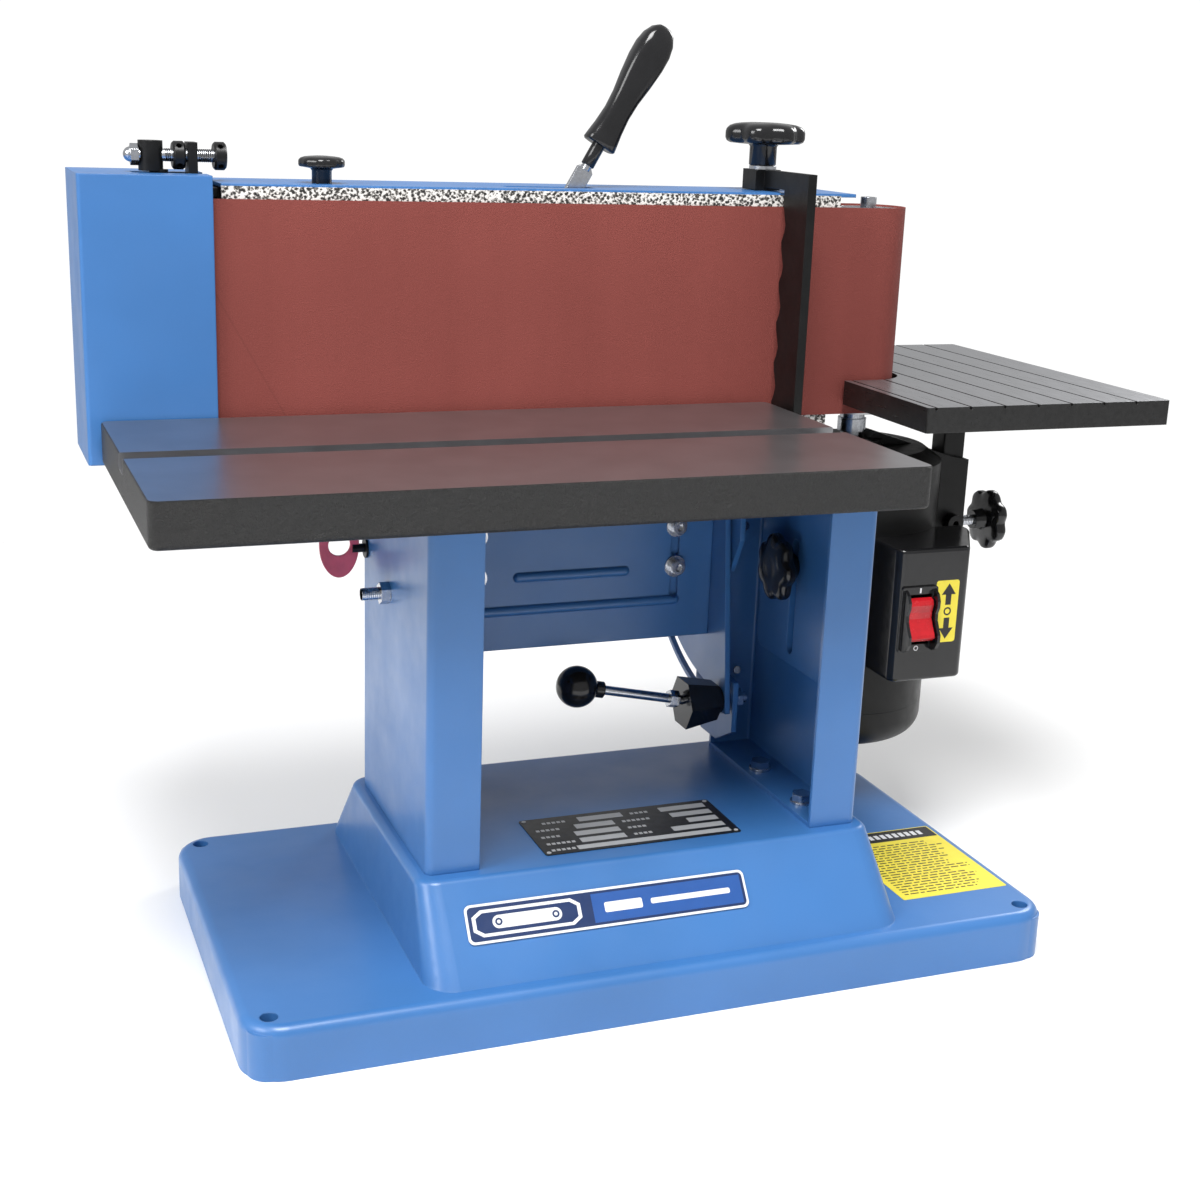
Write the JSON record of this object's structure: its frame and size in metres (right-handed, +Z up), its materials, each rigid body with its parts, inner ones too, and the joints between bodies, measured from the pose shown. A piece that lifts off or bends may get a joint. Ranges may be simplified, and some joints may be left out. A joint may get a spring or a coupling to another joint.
{
  "type": "edge sander",
  "caption": "Benchtop belt edge sander: upright abrasive belt over two drums on a tilting head, cast main table, grooved end table.",
  "frame": {"origin": "middle of the underside of the base, on the bench plane", "axes": "+X along the belt toward the drive drum and motor, +Y from the operator's side to the back, +Z up"},
  "size_m": [0.753, 0.418, 0.6158],
  "materials": {
    "blue_paint": "satin medium blue enamel",
    "ground_iron": "ground top, rough black cast edges",
    "black_paint": "semi-gloss black",
    "black_table": "black with fine grooves",
    "black_plastic": "moulded black",
    "bright_steel": "zinc plated",
    "black_oxide": "blackened steel",
    "abrasive": "red-brown aluminium oxide cloth",
    "graphite": "speckled graphite cloth on felt",
    "drum_alloy": "turned",
    "red_plastic": "gloss red",
    "red_tab": "soft red",
    "copper_wire": "enamelled copper",
    "laminations": "laminated steel"
  },
  "bodies": {
    "base": {"base_casting": "blue_paint", "pillar_right": "blue_paint", "pillar_left": "blue_paint", "foot_bolts": "bright_steel", "ear_plate_right": "blue_paint", "ear_plate_left": "blue_paint", "lock_plate": "blue_paint", "plate_screws": "bright_steel", "clamp_studs": "bright_steel", "pivot_bolts": "bright_steel", "pin_housing": "black_paint"},
    "index_plunger": {"index_pin": "black_oxide", "pull_tab": "red_tab"},
    "table": {"main_table": "ground_iron", "table_leg_right": "blue_paint", "table_leg_left": "blue_paint"},
    "table_clamp_right": {"table_knob_right": "black_plastic"},
    "table_clamp_left": {"table_knob_left": "black_plastic"},
    "head": {"side_plate_right": "blue_paint", "side_plate_left": "blue_paint", "cross_panel": "blue_paint", "panel_screws": "bright_steel", "platen_frame": "blue_paint", "graphite_pad": "graphite", "abrasive_belt": "abrasive", "end_guard": "blue_paint", "top_cover": "blue_paint", "motor_mount": "black_paint", "motor_shell": "black_paint", "motor_end_cover": "black_paint", "stator_core": "laminations", "stator_windings": "copper_wire", "motor_bearings": "bright_steel", "switch_box": "black_plastic", "switch_bezel": "black_plastic"},
    "rocker": {"switch_rocker": "red_plastic"},
    "drive": {"drive_drum": "drum_alloy", "motor_shaft": "bright_steel", "drum_screw": "bright_steel", "rotor_core": "laminations", "cooling_fan": "black_plastic"},
    "carriage": {"idler_carriage": "black_paint", "idler_axle": "black_paint", "tracking_rod": "bright_steel"},
    "idler": {"idler_drum": "drum_alloy", "idler_bearings": "bright_steel"},
    "tracking_adjuster": {"tracking_knob": "black_oxide"},
    "tracking_lock": {"tracking_lock_knob": "black_oxide"},
    "lever": {"tension_lever": "bright_steel", "lever_grip": "black_plastic"},
    "stop": {"work_stop": "black_paint", "stop_stud": "bright_steel"},
    "stop_clamp": {"stop_knob": "black_plastic"},
    "cover_clamp": {"cover_knob": "black_plastic"},
    "end_table": {"aux_table": "black_table", "aux_post": "black_paint"},
    "end_table_clamp": {"aux_knob": "black_plastic"},
    "tilt_clamp": {"tilt_hub": "black_plastic", "tilt_arm": "bright_steel", "tilt_ball": "black_plastic"}
  },
  "joints": [
    {"name": "table_height", "type": "slide", "parent": "base", "child": "table", "axis": [0, 0, 1], "range_m": [-0.01, 0.05]},
    {"name": "table_knob_right_turn", "type": "hinge", "parent": "base", "child": "table_clamp_right", "pos_m": [0.13, 0.012, 0.249], "axis": [1, 0, 0], "range_deg": [-180, 180]},
    {"name": "table_knob_left_turn", "type": "hinge", "parent": "base", "child": "table_clamp_left", "pos_m": [-0.13, 0.012, 0.249], "axis": [1, 0, 0], "range_deg": [-180, 180]},
    {"name": "head_tilt", "type": "hinge", "parent": "base", "child": "head", "pos_m": [0, 0.052, 0.29], "axis": [1, 0, 0], "range_deg": [-90, 0]},
    {"name": "tilt_lock_turn", "type": "hinge", "parent": "base", "child": "tilt_clamp", "pos_m": [0.09, 0.0442, 0.1412], "axis": [1, 0, 0], "range_deg": [-60, 60]},
    {"name": "index_pin_slide", "type": "slide", "parent": "base", "child": "index_plunger", "axis": [1, 0, 0], "range_m": [-0.003, 0.0035]},
    {"name": "drive_spin", "type": "hinge", "parent": "head", "child": "drive", "pos_m": [0.246, 0.128, 0.415], "axis": [0, 0, 1], "continuous": true},
    {"name": "tension_lever_swing", "type": "hinge", "parent": "head", "child": "lever", "pos_m": [-0.008, 0.128, 0.47], "axis": [0, 1, 0], "range_deg": [-66, 0]},
    {"name": "idler_slide", "type": "slide", "parent": "head", "child": "carriage", "axis": [1, 0, 0], "range_m": [0, 0.004]},
    {"name": "idler_spin", "type": "hinge", "parent": "carriage", "child": "idler", "pos_m": [-0.2756, 0.128, 0.415], "axis": [0, 0, 1], "continuous": true},
    {"name": "tracking_knob_turn", "type": "hinge", "parent": "carriage", "child": "tracking_adjuster", "pos_m": [-0.263, 0.128, 0.518], "axis": [1, 0, 0], "range_deg": [-180, 180]},
    {"name": "tracking_lock_turn", "type": "hinge", "parent": "carriage", "child": "tracking_lock", "pos_m": [-0.2367, 0.128, 0.518], "axis": [1, 0, 0], "range_deg": [-180, 180]},
    {"name": "stop_slide", "type": "slide", "parent": "head", "child": "stop", "axis": [1, 0, 0], "range_m": [-0.004, 0.036]},
    {"name": "stop_knob_turn", "type": "hinge", "parent": "stop", "child": "stop_clamp", "pos_m": [0.162, 0.14, 0.53], "axis": [0, 0, 1], "range_deg": [-180, 180]},
    {"name": "cover_knob_turn", "type": "hinge", "parent": "head", "child": "cover_clamp", "pos_m": [-0.17, 0.125, 0.51], "axis": [0, 0, 1], "range_deg": [-180, 180]},
    {"name": "end_table_height", "type": "slide", "parent": "head", "child": "end_table", "axis": [0, 0, 1], "range_m": [-0.02, 0.006]},
    {"name": "end_table_knob_turn", "type": "hinge", "parent": "head", "child": "end_table_clamp", "pos_m": [0.366, 0.128, 0.244], "axis": [1, 0, 0], "range_deg": [-180, 180]},
    {"name": "switch_rock", "type": "hinge", "parent": "head", "child": "rocker", "pos_m": [0.249, 0.022, 0.201], "axis": [1, 0, 0], "range_deg": [0, 16]}
  ],
  "couplings": [
    {"joint": "idler_spin", "follows": "drive_spin", "ratio": 1},
    {"joint": "idler_slide", "follows": "tension_lever_swing", "m_per_rad": -0.0034725}
  ]
}
